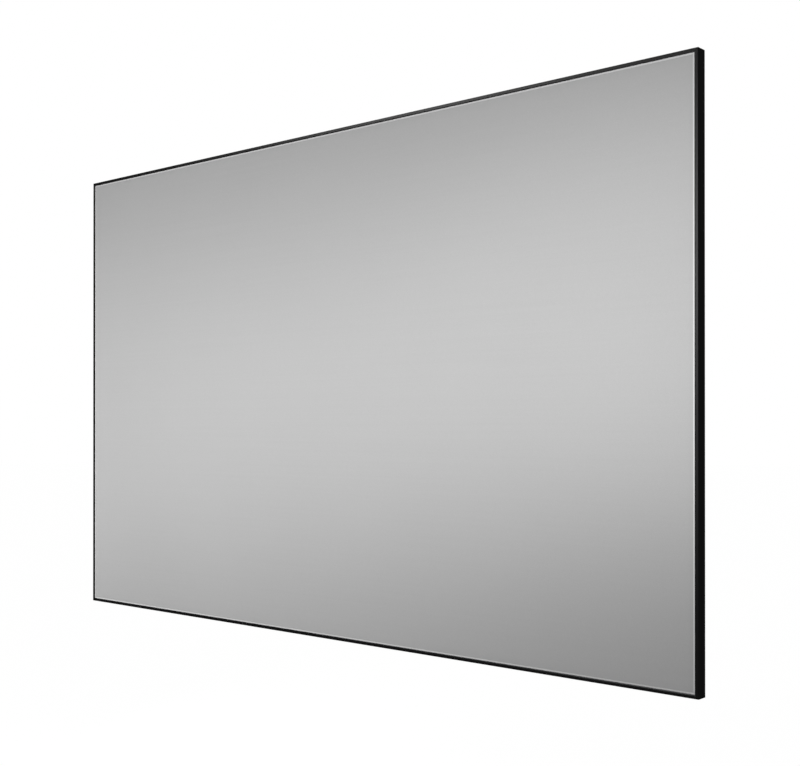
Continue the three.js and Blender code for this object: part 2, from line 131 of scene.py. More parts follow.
def even_places(start, end):
    """Places from start to end, about a spring's pitch apart."""
    gaps = max(1, round((end - start) / SPRING_PITCH))
    return [start + (end - start) * i / gaps for i in range(gaps + 1)]


def spring_places(side):
    """The springs' places along a side, clear of the corner inserts and the splice bars."""
    end = side["length"] / 2 - INSERT_ARM - SPRING_CLEAR
    if not side["long"]:
        return even_places(-end, end)
    right = even_places(SPLICE_LENGTH / 2 + SPRING_CLEAR, end)
    return [-x for x in reversed(right)] + right


# Nodes


def srgb(code):
    """An sRGB hex colour as linear red, green, blue and alpha."""
    parts = [int(code[i : i + 2], 16) / 255 for i in (1, 3, 5)]
    linear = [c / 12.92 if c <= 0.04045 else ((c + 0.055) / 1.055) ** 2.4 for c in parts]
    return (*linear, 1.0)


def socket_of(sockets, key):
    """A socket by its identifier, or else by its name."""
    same_identifier = [s for s in sockets if s.identifier == key]
    return same_identifier[0] if same_identifier else sockets[key]


def fill(tree, node, inputs):
    """Links an input to an output, or gives it a value of its own."""
    for key, value in inputs.items():
        socket = socket_of(node.inputs, key)
        if isinstance(value, bpy.types.NodeSocket):
            tree.links.new(value, socket)
        else:
            socket.default_value = value


def add(tree, kind, inputs=None, out=None, **settings):
    """Adds a node with its settings and links, and gives back the output asked for, or the node."""
    node = tree.nodes.new(kind)
    for name, value in settings.items():
        setattr(node, name, value)
    fill(tree, node, inputs or {})
    return node if out is None else socket_of(node.outputs, out)


def new_material(name):
    """A material with an empty tree but for its surface shader."""
    material = bpy.data.materials.new(name)
    material.use_nodes = True
    tree = material.node_tree
    tree.nodes.clear()
    shader = add(tree, "ShaderNodeBsdfPrincipled")
    add(tree, "ShaderNodeOutputMaterial", {"Surface": shader.outputs["BSDF"]})
    return material, tree, shader


def mottle(tree, sizes, detail):
    """Random light and dark whose patches are so many millimetres long on each axis."""
    place = add(tree, "ShaderNodeTexCoord", out="Object")
    scale = [1 / (size * MM) for size in sizes]
    place = add(tree, "ShaderNodeMapping", {"Vector": place, "Scale": scale}, "Vector")
    return add(tree, "ShaderNodeTexNoise", {"Vector": place, "Scale": 1.0, "Detail": detail}, "Fac")


def patches(width):
    """Patch sizes of a grain or cloud that is the same in every direction."""
    return [width] * 3


def lines_along(axis, width, length):
    """Patch sizes of lines that run along one axis, where 0 is X and 2 is Z."""
    return [length if i == axis else width for i in range(3)]


# Materials

# A wave texture's phase goes up by so many radians over one unit of length
WAVE_PHASE = 20.0


def anodised_trim(name, axis):
    """Black anodised aluminium: extruded, so fine die lines run along it, then etched, so its
    gloss is soft and breaks up at the scale of the grain. The dye darkens what the metal under it
    mirrors, so it stays near black beside a white wall and lightens only where a lamp shows."""
    material, tree, shader = new_material(name)
    # Real die lines are some 0.1 mm wide and the etched grain is finer still. They are drawn at
    # 0.5 mm and 0.4 mm so that they can show
    lines = mottle(tree, lines_along(axis, width=0.5, length=120.0), detail=3.0)
    grain = mottle(tree, patches(0.4), detail=1.0)
    mixed = {"Factor_Float": lines, "A_Color": srgb("#090909"), "B_Color": srgb("#131313")}
    relief = {"Height": lines, "Strength": 0.18, "Distance": 0.05 * MM}
    gloss = {"Value": grain, "To Min": 0.29, "To Max": 0.45}
    fill(tree, shader, {
        "Base Color": add(tree, "ShaderNodeMix", mixed, "Result_Color", data_type="RGBA"),
        "Roughness": add(tree, "ShaderNodeMapRange", gloss, "Result"),
        "Normal": add(tree, "ShaderNodeBump", relief, "Normal"),
        "Metallic": 1.0,
        "Specular Tint": srgb("#BBBBBB"),
    })
    return material


def anodised_rail(name, axis):
    """The rails' finish: the same black dye on a mill surface, so it is duller and greyer, with
    longer and plainer die lines and faint clouds from the bath."""
    material, tree, shader = new_material(name)
    # Real die lines are some 0.2 mm wide, and are drawn at 0.9 mm so that they can show
    lines = mottle(tree, lines_along(axis, width=0.9, length=220.0), detail=4.0)
    cloud = mottle(tree, patches(90.0), detail=2.0)
    both = {"Value": lines, "Value_001": cloud}
    both = add(tree, "ShaderNodeMath", both, "Value", operation="MULTIPLY")
    mixed = {"Factor_Float": both, "A_Color": srgb("#131314"), "B_Color": srgb("#303032")}
    relief = {"Height": lines, "Strength": 0.25, "Distance": 0.06 * MM}
    gloss = {"Value": lines, "To Min": 0.38, "To Max": 0.6}
    fill(tree, shader, {
        "Base Color": add(tree, "ShaderNodeMix", mixed, "Result_Color", data_type="RGBA"),
        "Roughness": add(tree, "ShaderNodeMapRange", gloss, "Result"),
        "Normal": add(tree, "ShaderNodeBump", relief, "Normal"),
        "Specular IOR Level": 0.3,
    })
    return material


def coated_film():
    """Projection film with a grey optical coating: an even matte grey, sprayed with a fine grain
    over level ribs, both so fine that from a step away only a faint streak is left of them, and a
    pale band of even colour beside the trim on all four sides."""
    material, tree, shader = new_material("grey_optical_coating")
    streak = mottle(tree, lines_along(0, width=7.0, length=900.0), detail=3.0)
    cloud = mottle(tree, patches(400.0), detail=2.0)
    # Real spray grain is some 0.1 mm wide, and is drawn at 0.8 mm so that it can show
    grain = mottle(tree, patches(0.8), detail=2.0)
    both = {"Value": streak, "Value_001": cloud}
    both = add(tree, "ShaderNodeMath", both, "Value", operation="MULTIPLY")
    grey = {"Factor_Float": both, "A_Color": srgb("#D3D3D3"), "B_Color": srgb("#CCCCCC")}
    grey = add(tree, "ShaderNodeMix", grey, "Result_Color", data_type="RGBA")
    speck = {"Factor_Float": grain, "A_Color": srgb("#FFFFFF"), "B_Color": srgb("#E6E6E6")}
    speck = add(tree, "ShaderNodeMix", speck, "Result_Color", data_type="RGBA")
    grey = {"Factor_Float": 1.0, "A_Color": grey, "B_Color": speck}
    multiply = {"data_type": "RGBA", "blend_type": "MULTIPLY"}
    grey = add(tree, "ShaderNodeMix", grey, "Result_Color", **multiply)
    mixed = {"Factor_Float": margin_mask(tree), "A_Color": grey, "B_Color": srgb("#F0F0F0")}
    # Real ribs are some 0.3 mm apart, and are drawn at 2.4 mm so that they can show
    rib_pitch = 2.4 * MM
    place = add(tree, "ShaderNodeTexCoord", out="Object")
    ribs = {"Vector": place, "Scale": math.tau / WAVE_PHASE / rib_pitch}
    ribs = add(tree, "ShaderNodeTexWave", ribs, "Fac", bands_direction="Z")
    height = add(tree, "ShaderNodeMix", {"A_Float": ribs, "B_Float": grain}, "Result_Float")
    relief = {"Height": height, "Strength": 0.25, "Distance": 0.1 * MM}
    gloss = {"Value": grain, "To Min": 0.56, "To Max": 0.7}
    fill(tree, shader, {
        "Base Color": add(tree, "ShaderNodeMix", mixed, "Result_Color", data_type="RGBA"),
        "Roughness": add(tree, "ShaderNodeMapRange", gloss, "Result"),
        "Normal": add(tree, "ShaderNodeBump", relief, "Normal"),
        "Specular IOR Level": 0.04,
    })
    return material


def margin_mask(tree):
    """One beside the trim on any of the four sides, and zero over the picture."""
    place = add(tree, "ShaderNodeTexCoord", out="Object")
    axes = add(tree, "ShaderNodeSeparateXYZ", {"Vector": place}).outputs
    inset = BEZEL_FACE + PALE_MARGIN
    masks = []
    for axis, size in (("X", WIDTH), ("Z", HEIGHT)):
        away = add(tree, "ShaderNodeMath", {"Value": axes[axis]}, "Value", operation="ABSOLUTE")
        edge = {"Value": away, "Value_001": (size / 2 - inset) * MM}
        masks.append(add(tree, "ShaderNodeMath", edge, "Value", operation="GREATER_THAN"))
    either = {"Value": masks[0], "Value_001": masks[1]}
    return add(tree, "ShaderNodeMath", either, "Value", operation="MAXIMUM")


def scrim_back():
    """The film's black back: a light-stopping coat over a plain-woven scrim, whose warp and weft
    pass over and under one another and show through as a fine basket grid."""
    material, tree, shader = new_material("black_scrim_back")
    # Real threads are about 0.5 mm apart, and are drawn at 1.8 mm so that they can show
    thread_pitch = 1.8 * MM
    phase = math.pi / thread_pitch
    place = add(tree, "ShaderNodeTexCoord", out="Object")
    place = {"Vector": place, "Scale": [phase] * 3}
    place = add(tree, "ShaderNodeMapping", place, "Vector")
    axes = add(tree, "ShaderNodeSeparateXYZ", {"Vector": place}).outputs
    warp = add(tree, "ShaderNodeMath", {"Value": axes["X"]}, "Value", operation="SINE")
    weft = add(tree, "ShaderNodeMath", {"Value": axes["Z"]}, "Value", operation="SINE")
    over = {"Value": warp, "Value_001": weft}
    over = add(tree, "ShaderNodeMath", over, "Value", operation="MULTIPLY")
    over = {"Value": over, "Value_001": 0.0}
    over = add(tree, "ShaderNodeMath", over, "Value", operation="GREATER_THAN")
    warp = add(tree, "ShaderNodeMath", {"Value": warp}, "Value", operation="ABSOLUTE")
    weft = add(tree, "ShaderNodeMath", {"Value": weft}, "Value", operation="ABSOLUTE")
    weave = {"Factor_Float": over, "A_Float": warp, "B_Float": weft}
    weave = add(tree, "ShaderNodeMix", weave, "Result_Float")
    cloud = mottle(tree, patches(250.0), detail=3.0)
    # A thread's fibres are far finer, and are drawn as patches half as wide as a thread
    fibre = mottle(tree, patches(0.9), detail=2.0)
    low = {"Factor_Float": cloud, "A_Color": srgb("#161617"), "B_Color": srgb("#1E1E20")}
    high = {"Factor_Float": fibre, "A_Color": srgb("#2A2A2C"), "B_Color": srgb("#38383B")}
    mixed = {
        "Factor_Float": weave,
        "A_Color": add(tree, "ShaderNodeMix", low, "Result_Color", data_type="RGBA"),
        "B_Color": add(tree, "ShaderNodeMix", high, "Result_Color", data_type="RGBA"),
    }
    relief = {"Height": weave, "Strength": 0.3, "Distance": 0.15 * MM}
    gloss = {"Value": fibre, "To Min": 0.7, "To Max": 0.86}
    fill(tree, shader, {
        "Base Color": add(tree, "ShaderNodeMix", mixed, "Result_Color", data_type="RGBA"),
        "Roughness": add(tree, "ShaderNodeMapRange", gloss, "Result"),
        "Normal": add(tree, "ShaderNodeBump", relief, "Normal"),
    })
    return material


def single_pattern(name, sizes, detail, colours, roughness, metallic=1.0, relief_depth=0.05):
    """A finish whose colour, gloss and fine relief all follow one pattern."""
    material, tree, shader = new_material(name)
    pattern = mottle(tree, sizes, detail)
    dark, light = colours
    mixed = {"Factor_Float": pattern, "A_Color": srgb(dark), "B_Color": srgb(light)}
    relief = {"Height": pattern, "Strength": 0.2, "Distance": relief_depth * MM}
    smooth, rough = roughness
    gloss = {"Value": pattern, "To Min": smooth, "To Max": rough}
    fill(tree, shader, {
        "Base Color": add(tree, "ShaderNodeMix", mixed, "Result_Color", data_type="RGBA"),
        "Roughness": add(tree, "ShaderNodeMapRange", gloss, "Result"),
        "Normal": add(tree, "ShaderNodeBump", relief, "Normal"),
        "Metallic": metallic,
    })
    return material


def zinc_plate():
    """Zinc-plated and passivated steel: pale grey with a faint blue and straw bloom, and a satin
    gloss that is cloudy at the scale of the zinc's grain."""
    material, tree, shader = new_material("passivated_zinc_plate")
    bloom = mottle(tree, patches(14.0), detail=3.0)
    # Real zinc grain is some 0.1 mm wide, and is drawn at 1.5 mm so that it can show
    grain = mottle(tree, patches(1.5), detail=2.0)
    mixed = {"Factor_Float": bloom, "A_Color": srgb("#AEB5BE"), "B_Color": srgb("#C6C2B6")}
    relief = {"Height": grain, "Strength": 0.12, "Distance": 0.05 * MM}
    gloss = {"Value": grain, "To Min": 0.28, "To Max": 0.42}
    fill(tree, shader, {
        "Base Color": add(tree, "ShaderNodeMix", mixed, "Result_Color", data_type="RGBA"),
        "Roughness": add(tree, "ShaderNodeMapRange", gloss, "Result"),
        "Normal": add(tree, "ShaderNodeBump", relief, "Normal"),
        "Metallic": 1.0,
    })
    return material


def drawn_aluminium():
    """Plain drawn aluminium: pale, with long fine lines from the die and a soft gloss."""
    # Real die lines are some 0.1 mm wide, and are drawn at 0.8 mm so that they can show
    return single_pattern(
        "drawn_aluminium",
        sizes=lines_along(2, width=0.8, length=160.0),
        detail=4.0,
        colours=("#A4A6A8", "#C4C6C7"),
        roughness=(0.3, 0.46),
    )


def cast_aluminium():
    """Die-cast aluminium, blasted clean: grainy and dull."""
    # The blasted grain is some 0.2 mm wide, and is drawn at 0.9 mm so that it can show
    return single_pattern(
        "blasted_cast_aluminium",
        sizes=patches(0.9),
        detail=3.0,
        colours=("#8E9092", "#A5A7A8"),
        roughness=(0.5, 0.65),
        metallic=0.9,
        relief_depth=0.1,
    )


def spring_steel():
    """Bright drawn spring wire and rod: smooth, with a film of oil that varies the gloss."""
    return single_pattern(
        "bright_spring_steel",
        sizes=patches(6.0),
        detail=2.0,
        colours=("#B5B9BD", "#CDD0D2"),
        roughness=(0.18, 0.3),
    )


def black_oxide():
    """Black-oxide screw steel: near black with a dull, slightly mottled gloss."""
    # The real mottle is some 0.1 mm wide, and is drawn at 0.7 mm so that it can show
    return single_pattern(
        "black_oxide_steel",
        sizes=patches(0.7),
        detail=2.0,
        colours=("#1A1A1B", "#2C2C2E"),
        roughness=(0.32, 0.5),
        metallic=0.6,
    )


def sewing_thread():
    """Bonded polyester thread: off-white and twisted, with a low sheen."""
    return single_pattern(
        "bonded_polyester_thread",
        sizes=patches(0.5),
        detail=1.0,
        colours=("#8D8D8A", "#A8A8A4"),
        roughness=(0.5, 0.7),
        metallic=0.0,
    )


# Meshes


def mesh_object(name, mesh, materials=()):
    """A new object in the scene, at the origin."""
    made = bpy.data.objects.new(name, mesh)
    bpy.context.scene.collection.objects.link(made)
    for material in materials:
        mesh.materials.append(material)
    return made


def finished_mesh(shape, name):
    """A plain mesh of a shape, with its faces outwards."""
    bmesh.ops.recalc_face_normals(shape, faces=shape.faces)
    mesh = bpy.data.meshes.new(name)
    shape.to_mesh(mesh)
    shape.free()
    return mesh


def soften(mesh, crease=CREASE):
    """Shades a mesh smoothly between its crisp edges."""
    mesh.shade_smooth()
    mesh.set_sharp_from_angle(angle=math.radians(crease))


def bridge(shape, rings):
    """Joins closed rings of points by faces, and closes both ends."""
    for first, second in zip(rings, rings[1:]):
        for i in range(len(first)):
            j = (i + 1) % len(first)
            shape.faces.new((first[i], first[j], second[j], second[i]))
    shape.faces.new(rings[0])
    shape.faces.new(rings[-1])


def seat(piece, slot, *nodes):
    """A finished piece rides on the frame and hides the nodes it stands for. The slot is not used.
    """
    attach(piece, "root")
    if nodes:
        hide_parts(*nodes)
    return piece


def applied(piece):
    """The piece with its modifiers worked into a plain mesh."""
    graph = bpy.context.evaluated_depsgraph_get()
    mesh = bpy.data.meshes.new_from_object(piece.evaluated_get(graph))
    mesh.name = piece.name
    piece.modifiers.clear()
    piece.data = mesh
    return piece


def arc(centre, radius, start, end, steps):
    """Points of an arc in inset and depth, angles in degrees from the inset's direction."""
    points = []
    for i in range(steps + 1):
        angle = math.radians(start + (end - start) * i / steps)
        points.append((centre[0] + radius * math.cos(angle), centre[1] + radius * math.sin(angle)))
    return points


# The sheet

CORNER_GAP = 3.0
PANEL_STEP = 24.0
# Points nearer than this are one point
MERGE_DISTANCE = 0.01
PANEL_DEPTH = SHEET_FRONT + SHEET / 2
WALL_INSET = SHEET_SIDE + SHEET / 2
BACK_DEPTH = FOLD_DEPTH + SHEET / 2
BEND_STEPS = 4
WALL_STEPS = 3
FLAP_EDGE = 8.5
SEAM_INNER = 13.2
SEAM_PUFF = 0.1
# The pocket's middle line as insets and depths: where it leaves the rail, its turn round the rod
# in degrees, and where it comes back over itself to the seam
POCKET_START = (ROD_INSET - 2.8, BACK_DEPTH + 0.15)
POCKET_RADIUS = 2.3
POCKET_TURN = (250, 495)
POCKET_STEPS = 14
POCKET_END = (ROD_INSET - 3.8, BACK_DEPTH + 2.0)
POCKET_NOTCH = 9.0
POCKET_SAG = 0.48
SAG_REACH = 38.0


def wrap_line():
    """The sheet's middle line round one edge as (inset, depth), from the front panel to the sewn
    flap, with the numbers of its points between which a notch is cut."""
    bend = SHEET_BEND
    centre = WALL_INSET + bend
    wall = BACK_DEPTH - PANEL_DEPTH
    line = arc((centre, PANEL_DEPTH + bend), bend, 270, 180, BEND_STEPS)
    line += [(WALL_INSET, PANEL_DEPTH + wall * i / WALL_STEPS) for i in range(1, WALL_STEPS)]
    line += arc((centre, BACK_DEPTH - bend), bend, 180, 90, BEND_STEPS)
    line += [(FLAP_EDGE, BACK_DEPTH), (SEAM_INNER, BACK_DEPTH)]
    notch_start = len(line) - 1
    line.append(POCKET_START)
    line += arc((ROD_INSET, ROD_DEPTH), POCKET_RADIUS, *POCKET_TURN, POCKET_STEPS)
    notch_end = len(line)
    line.append(POCKET_END)
    flap = BACK_DEPTH + SHEET + SEAM_PUFF
    line += [(SEAM_INNER, flap), (FLAP_EDGE, flap)]
    return line, notch_start, notch_end


def side_columns(side):
    """Places along a side for the sheet's columns, with one at each edge of every notch."""
    half = POCKET_NOTCH / 2
    marks = [place + way * half for place in spring_places(side) for way in (-1, 1)]
    edge = side["length"] / 2 - WALL_INSET - SHEET_BEND
    marks = [-edge] + marks + [edge]
    columns = []
    for start, end in zip(marks, marks[1:]):
        steps = max(1, round((end - start) / PANEL_STEP))
        columns += [start + (end - start) * i / steps for i in range(steps)]
    return columns + [edge]


def sag(along, springs):
    """How far the pocket slackens outwards between the springs, in millimetres."""
    near = min(abs(along - place) for place in springs)
    return POCKET_SAG * (1 - math.exp(-((near / SAG_REACH) ** 2)))


def sheet_surface():
    """The sheet as one open surface: a flat front, four wrapped edges, sewn pockets that are
    notched at the springs, and cut corners."""
    shape = bmesh.new()
    columns = {side["name"]: side_columns(side) for side in SIDES}
    across, up = columns["top"], columns["right"]
    y = FRONT + PANEL_DEPTH * MM
    grid = [[shape.verts.new((x * MM, y, z * MM)) for z in up] for x in across]
    for first, second in zip(grid, grid[1:]):
        for j in range(len(up) - 1):
            shape.faces.new((first[j], second[j], second[j + 1], first[j + 1]))
    for side in SIDES:
        add_wrap(shape, side, columns[side["name"]])
    bmesh.ops.remove_doubles(shape, verts=shape.verts, dist=MERGE_DISTANCE * MM)
    return finished_mesh(shape, "projection_sheet_cloth")


def add_wrap(shape, side, columns):
    """One wrapped edge, whose columns close up towards the mitred corners past the last notch."""
    line, notch_start, notch_end = wrap_line()
    springs = spring_places(side)
    half = POCKET_NOTCH / 2
    last = springs[-1] + half
    limit = columns[-1]
    # The pocket starts past the two bends and the wall between them
    pocket = 2 * BEND_STEPS + WALL_STEPS - 1
    rows = []
    for along in columns:
        row = []
        for k, (inset, depth) in enumerate(line):
            room = side["length"] / 2 - inset - CORNER_GAP if k > BEND_STEPS else limit
            place = along
            if abs(along) > last and room < limit:
                share = (abs(along) - last) / (limit - last)
                place = math.copysign(last + share * (room - last), along)
            slack = sag(along, springs) if k >= pocket else 0.0
            row.append(shape.verts.new(side_point(side, place, inset - slack, depth)))
        rows.append(row)
    for i in range(len(columns) - 1):
        middle = (columns[i] + columns[i + 1]) / 2
        notched = any(abs(middle - place) < half for place in springs)
        for k in range(len(line) - 1):
            if not (notched and notch_start <= k <= notch_end):
                shape.faces.new((rows[i][k], rows[i + 1][k], rows[i + 1][k + 1], rows[i][k + 1]))


def make_sheet(front, back):
    """The stretched sheet, solid, with its grey face outwards and its black back inwards."""
    piece = mesh_object("projection_sheet_cloth", sheet_surface(), [front, back])
    # The front panel decides which way is out
    panel = max(piece.data.polygons, key=lambda face: face.area)
    if panel.normal.y > 0:
        piece.data.flip_normals()
    thick = piece.modifiers.new("thickness", "SOLIDIFY")
    thick.thickness = SHEET * MM
    thick.offset = 0.0
    thick.material_offset = 1
    thick.material_offset_rim = 0
    made = applied(piece)
    soften(made.data)
    seat(made, "sheet", "projection_sheet")


# Rods

ROD_SIDES = 16
# A domed end, as places from its tip and shares of the rod's radius
ROD_END = ((0.0, 0.2), (0.5, 0.75), (1.4, 1.0))


def make_rods(material):
    """Four round steel rods with domed ends, one in each pocket."""
    for side in SIDES:
        half = side["length"] / 2 - ROD_CORNER_GAP
        stations = [(place - half, share) for place, share in ROD_END]
        stations += [(half - place, share) for place, share in reversed(ROD_END)]
        shape = bmesh.new()
        bridge(shape, [rod_ring(shape, side, *station) for station in stations])
        name = f"tension_rod_{side['name']}"
        rod = mesh_object(f"{name}_steel", finished_mesh(shape, name), [material])
        soften(rod.data)
        seat(rod, "spring_steel", name)


def rod_ring(shape, side, along, share):
    """One ring of a rod's points at a place along its side."""
    ring = []
    for i in range(ROD_SIDES):
        angle = math.tau * i / ROD_SIDES
        inset = ROD_INSET + share * ROD_DIAMETER / 2 * math.cos(angle)
        depth = ROD_DEPTH + share * ROD_DIAMETER / 2 * math.sin(angle)
        ring.append(shape.verts.new(side_point(side, along, inset, depth)))
    return ring


# Springs, stitches and screws

SPRING_DIAMETER = 5.8
SPRING_WIRE = 1.0
SPRING_TURNS = 9
TURN_STEPS = 14
WIRE_SIDES = 6
# The loop's start and sweep round the rod in degrees, its room, and its step past itself
LOOP_START = 30.0
LOOP_SWEEP = 300.0
LOOP_ROOM = 0.1
LOOP_STEP = 0.35
# From the loop to the first turn, and from the last turn to the hook
LOOP_LEAD = 2.2
HOOK_LEAD = 2.4
HOOK_BEND = 0.6
# The first and last turns start from a share of the radius and open at this rate
TURN_START = 0.15
TURN_OPENING = 6.0


def spring_line():
    """The wire's path in the spring's own frame, in millimetres: a loop round the rod at the
    origin, close turns along -Z, and a hook over the rail's lip. +Y is back."""
    eye = (ROD_DIAMETER + SPRING_WIRE) / 2 + LOOP_ROOM
    coil = (SPRING_DIAMETER - SPRING_WIRE) / 2
    near = ROD_INSET - LIP_OUTER + FIT + SPRING_WIRE / 2
    far = ROD_INSET - LIP_INNER - FIT - SPRING_WIRE / 2
    over = LIP_DEPTH - ROD_DEPTH + FIT + SPRING_WIRE / 2
    start = -eye - LOOP_LEAD
    end = near + HOOK_LEAD
    bend = HOOK_BEND
    points = []
    for i in range(TURN_STEPS + 1):
        share = i / TURN_STEPS
        angle = math.radians(LOOP_START - LOOP_SWEEP * share)
        points.append((LOOP_STEP * share, eye * math.cos(angle), -eye * math.sin(angle)))
    points.append((LOOP_STEP / 2, 0.0, start + LOOP_LEAD / 2))
    for i in range(SPRING_TURNS * TURN_STEPS + 1):
        share = i / (SPRING_TURNS * TURN_STEPS)
        angle = math.tau * i / TURN_STEPS
        reach = coil * min(1.0, TURN_START + TURN_OPENING * min(share, 1 - share))
        z = start + (end - start) * share
        points.append((reach * math.cos(angle), reach * math.sin(angle), z))
    points += [(0.0, 0.0, near + 2 * bend), (0.0, bend, near + bend / 2)]
    points += [(0.0, over - bend, near), (0.0, over, near - bend)]
    points += [(0.0, over, far + bend), (0.0, over - bend, far)]
    return points + [(0.0, bend / 2, far), (0.0, -bend, far)]


def path_curve(name, points):
    """A curve through points that are given in millimetres."""
    curve = bpy.data.curves.new(name, "CURVE")
    curve.dimensions = "3D"
    spline = curve.splines.new("POLY")
    spline.points.add(len(points) - 1)
    for point, place in zip(spline.points, points):
        point.co = (place[0] * MM, place[1] * MM, place[2] * MM, 1.0)
    return mesh_object(name, curve)


def repeat_tree(name, is_wire):
    """Puts a copy of a piece at every point of the input, turned about Y by the point's turn. A
    piece that is a path is first given the thickness of its wire."""
    tree = bpy.data.node_groups.new(name, "GeometryNodeTree")
    sockets = [
        ("Geometry", "INPUT", "NodeSocketGeometry"),
        ("Piece", "INPUT", "NodeSocketObject"),
        ("Wire diameter", "INPUT", "NodeSocketFloat"),
        ("Wire sides", "INPUT", "NodeSocketInt"),
        ("Finish", "INPUT", "NodeSocketMaterial"),
        ("Geometry", "OUTPUT", "NodeSocketGeometry"),
    ]
    for label, way, kind in sockets:
        tree.interface.new_socket(label, in_out=way, socket_type=kind)
    given = add(tree, "NodeGroupInput").outputs
    piece = add(tree, "GeometryNodeObjectInfo", {"Object": given["Piece"]}, "Geometry")
    if is_wire:
        radius = {"Value": given["Wire diameter"], "Value_001": 0.5}
        radius = add(tree, "ShaderNodeMath", radius, "Value", operation="MULTIPLY")
        profile = {"Resolution": given["Wire sides"], "Radius": radius}
        profile = add(tree, "GeometryNodeCurvePrimitiveCircle", profile, "Curve")
        wire = {"Curve": piece, "Profile Curve": profile, "Fill Caps": True}
        piece = add(tree, "GeometryNodeCurveToMesh", wire, "Mesh")
    turn = add(tree, "GeometryNodeInputNamedAttribute", {"Name": "turn"}, data_type="FLOAT")
    angles = {"Y": turn.outputs["Attribute"]}
    angles = add(tree, "ShaderNodeCombineXYZ", angles, "Vector")
    rotation = add(tree, "FunctionNodeEulerToRotation", {"Euler": angles}, "Rotation")
    copies = {"Points": given["Geometry"], "Instance": piece, "Rotation": rotation}
    copies = add(tree, "GeometryNodeInstanceOnPoints", copies, "Instances")
    real = add(tree, "GeometryNodeRealizeInstances", {"Geometry": copies}, "Geometry")
    finish = {"Geometry": real, "Material": given["Finish"]}
    finish = add(tree, "GeometryNodeSetMaterial", finish, "Geometry")
    add(tree, "NodeGroupOutput", {"Geometry": finish})
    return tree


def repeated(name, places, piece, material, wire=0.0, wire_sides=0):
    """A plain mesh of the piece repeated at (point, turn) places."""
    mesh = bpy.data.meshes.new(name)
    mesh.from_pydata([tuple(point) for point, _ in places], [], [])
    turns = mesh.attributes.new("turn", "FLOAT", "POINT")
    for i, (_, turn) in enumerate(places):
        turns.data[i].value = turn
    made = mesh_object(name, mesh)
    modifier = made.modifiers.new("repeat", "NODES")
    modifier.node_group = repeat_tree(name, wire > 0)
    values = {"Piece": piece, "Wire diameter": wire * MM, "Wire sides": wire_sides}
    values["Finish"] = material
    for item in modifier.node_group.interface.items_tree:
        if item.in_out == "INPUT" and item.name in values:
            modifier[item.identifier] = values[item.name]
    applied(made)
    bpy.data.objects.remove(piece)
    return made


def make_springs(material):
    """Wound wire springs, each looped round its rod and hooked over the rail's lip."""
    path = path_curve("spring_wire_path", spring_line())
    places = []
    for side in SIDES:
        for along in spring_places(side):
            point = side_point(side, along, ROD_INSET, ROD_DEPTH)
            places.append((point, side["turn"] * QUARTER))
    springs = repeated("tension_springs", places, path, material, SPRING_WIRE, WIRE_SIDES)
    soften(springs.data, WIRE_CREASE)
    seat(springs, "spring_steel", *[f"tension_rod_{side['name']}" for side in SIDES])


STITCH_INSET = 10.4
STITCH_LENGTH = 3.2
STITCH_FLAT = 1.9
STITCH_DIP = 0.5
STITCH_PROUD = 0.1
STITCH_PITCH = 4.6
STITCH_THREAD = 0.5
THREAD_SIDES = 5


def make_stitches(material):
    """A straight seam of lock stitches that closes each pocket."""
    line = [(-STITCH_LENGTH / 2, -STITCH_DIP, 0), (-STITCH_FLAT / 2, STITCH_PROUD, 0)]
    line += [(-x, y, z) for x, y, z in reversed(line)]
    depth = FOLD_DEPTH + 2 * SHEET + STITCH_THREAD / 2
    places = []
    for side in SIDES:
        springs = spring_places(side)
        end = side["length"] / 2 - STITCH_INSET - CORNER_GAP - STITCH_PITCH
        for i in range(int(2 * end / STITCH_PITCH) + 1):
            along = i * STITCH_PITCH - end
            inset = STITCH_INSET - sag(along, springs)
            places.append((side_point(side, along, inset, depth), side["turn"] * QUARTER))
    path = path_curve("stitch_path", line)
    name = "pocket_stitches"
    seat(repeated(name, places, path, material, STITCH_THREAD, THREAD_SIDES), "sheet")


SCREW_SIDES = 24
SCREW_SHANK = 3.8
SCREW_LENGTH = 8.0
SCREW_EASE = 0.15
SCREW_RIM = 0.7
# Angles, in radians, at which the crown's outline is stepped
SCREW_CROWN = (0.35, 0.7, 1.0)
SCREW_SOCKET = 2.6
SOCKET_LAND = 0.55
SOCKET_DEPTH = 1.3
# The angle, in radians, that each flat of the six-sided socket takes up
SOCKET_FLAT = math.tau / 6
# Each screw stops a little further round than the one before it, in radians
SCREW_TURN = 0.3


def screw_pattern():
    """A low round-headed screw with a hexagon socket, head towards +Y, seat at the origin."""
    head = SCREW_HEAD / 2
    top = SCREW_HEAD_HEIGHT
    socket = SCREW_SOCKET / 2
    shank = SCREW_SHANK / 2
    ease = SCREW_EASE
    crown = top - SCREW_RIM
    outline = [(shank, -SCREW_LENGTH), (shank, 0.0), (head - ease, 0.0), (head, ease)]
    outline.append((head, SCREW_RIM))
    outline += [(head * math.cos(a), SCREW_RIM + crown * math.sin(a)) for a in SCREW_CROWN]
    outline += [(socket + SOCKET_LAND, top), (socket + ease, top), (socket, top - ease)]
    outline.append((socket, top - SOCKET_DEPTH))
    shape = bmesh.new()
    rings = []
    for radius, depth in outline:
        ring = []
        for i in range(SCREW_SIDES):
            angle = math.tau * i / SCREW_SIDES
            reach = radius
            if radius == socket:
                reach = socket / math.cos(angle % SOCKET_FLAT - SOCKET_FLAT / 2)
            x, z = reach * math.cos(angle), reach * math.sin(angle)
            ring.append(shape.verts.new((x * MM, depth * MM, z * MM)))
        rings.append(ring)
    bridge(shape, rings)
    return mesh_object("screw_pattern", finished_mesh(shape, "screw_pattern"))


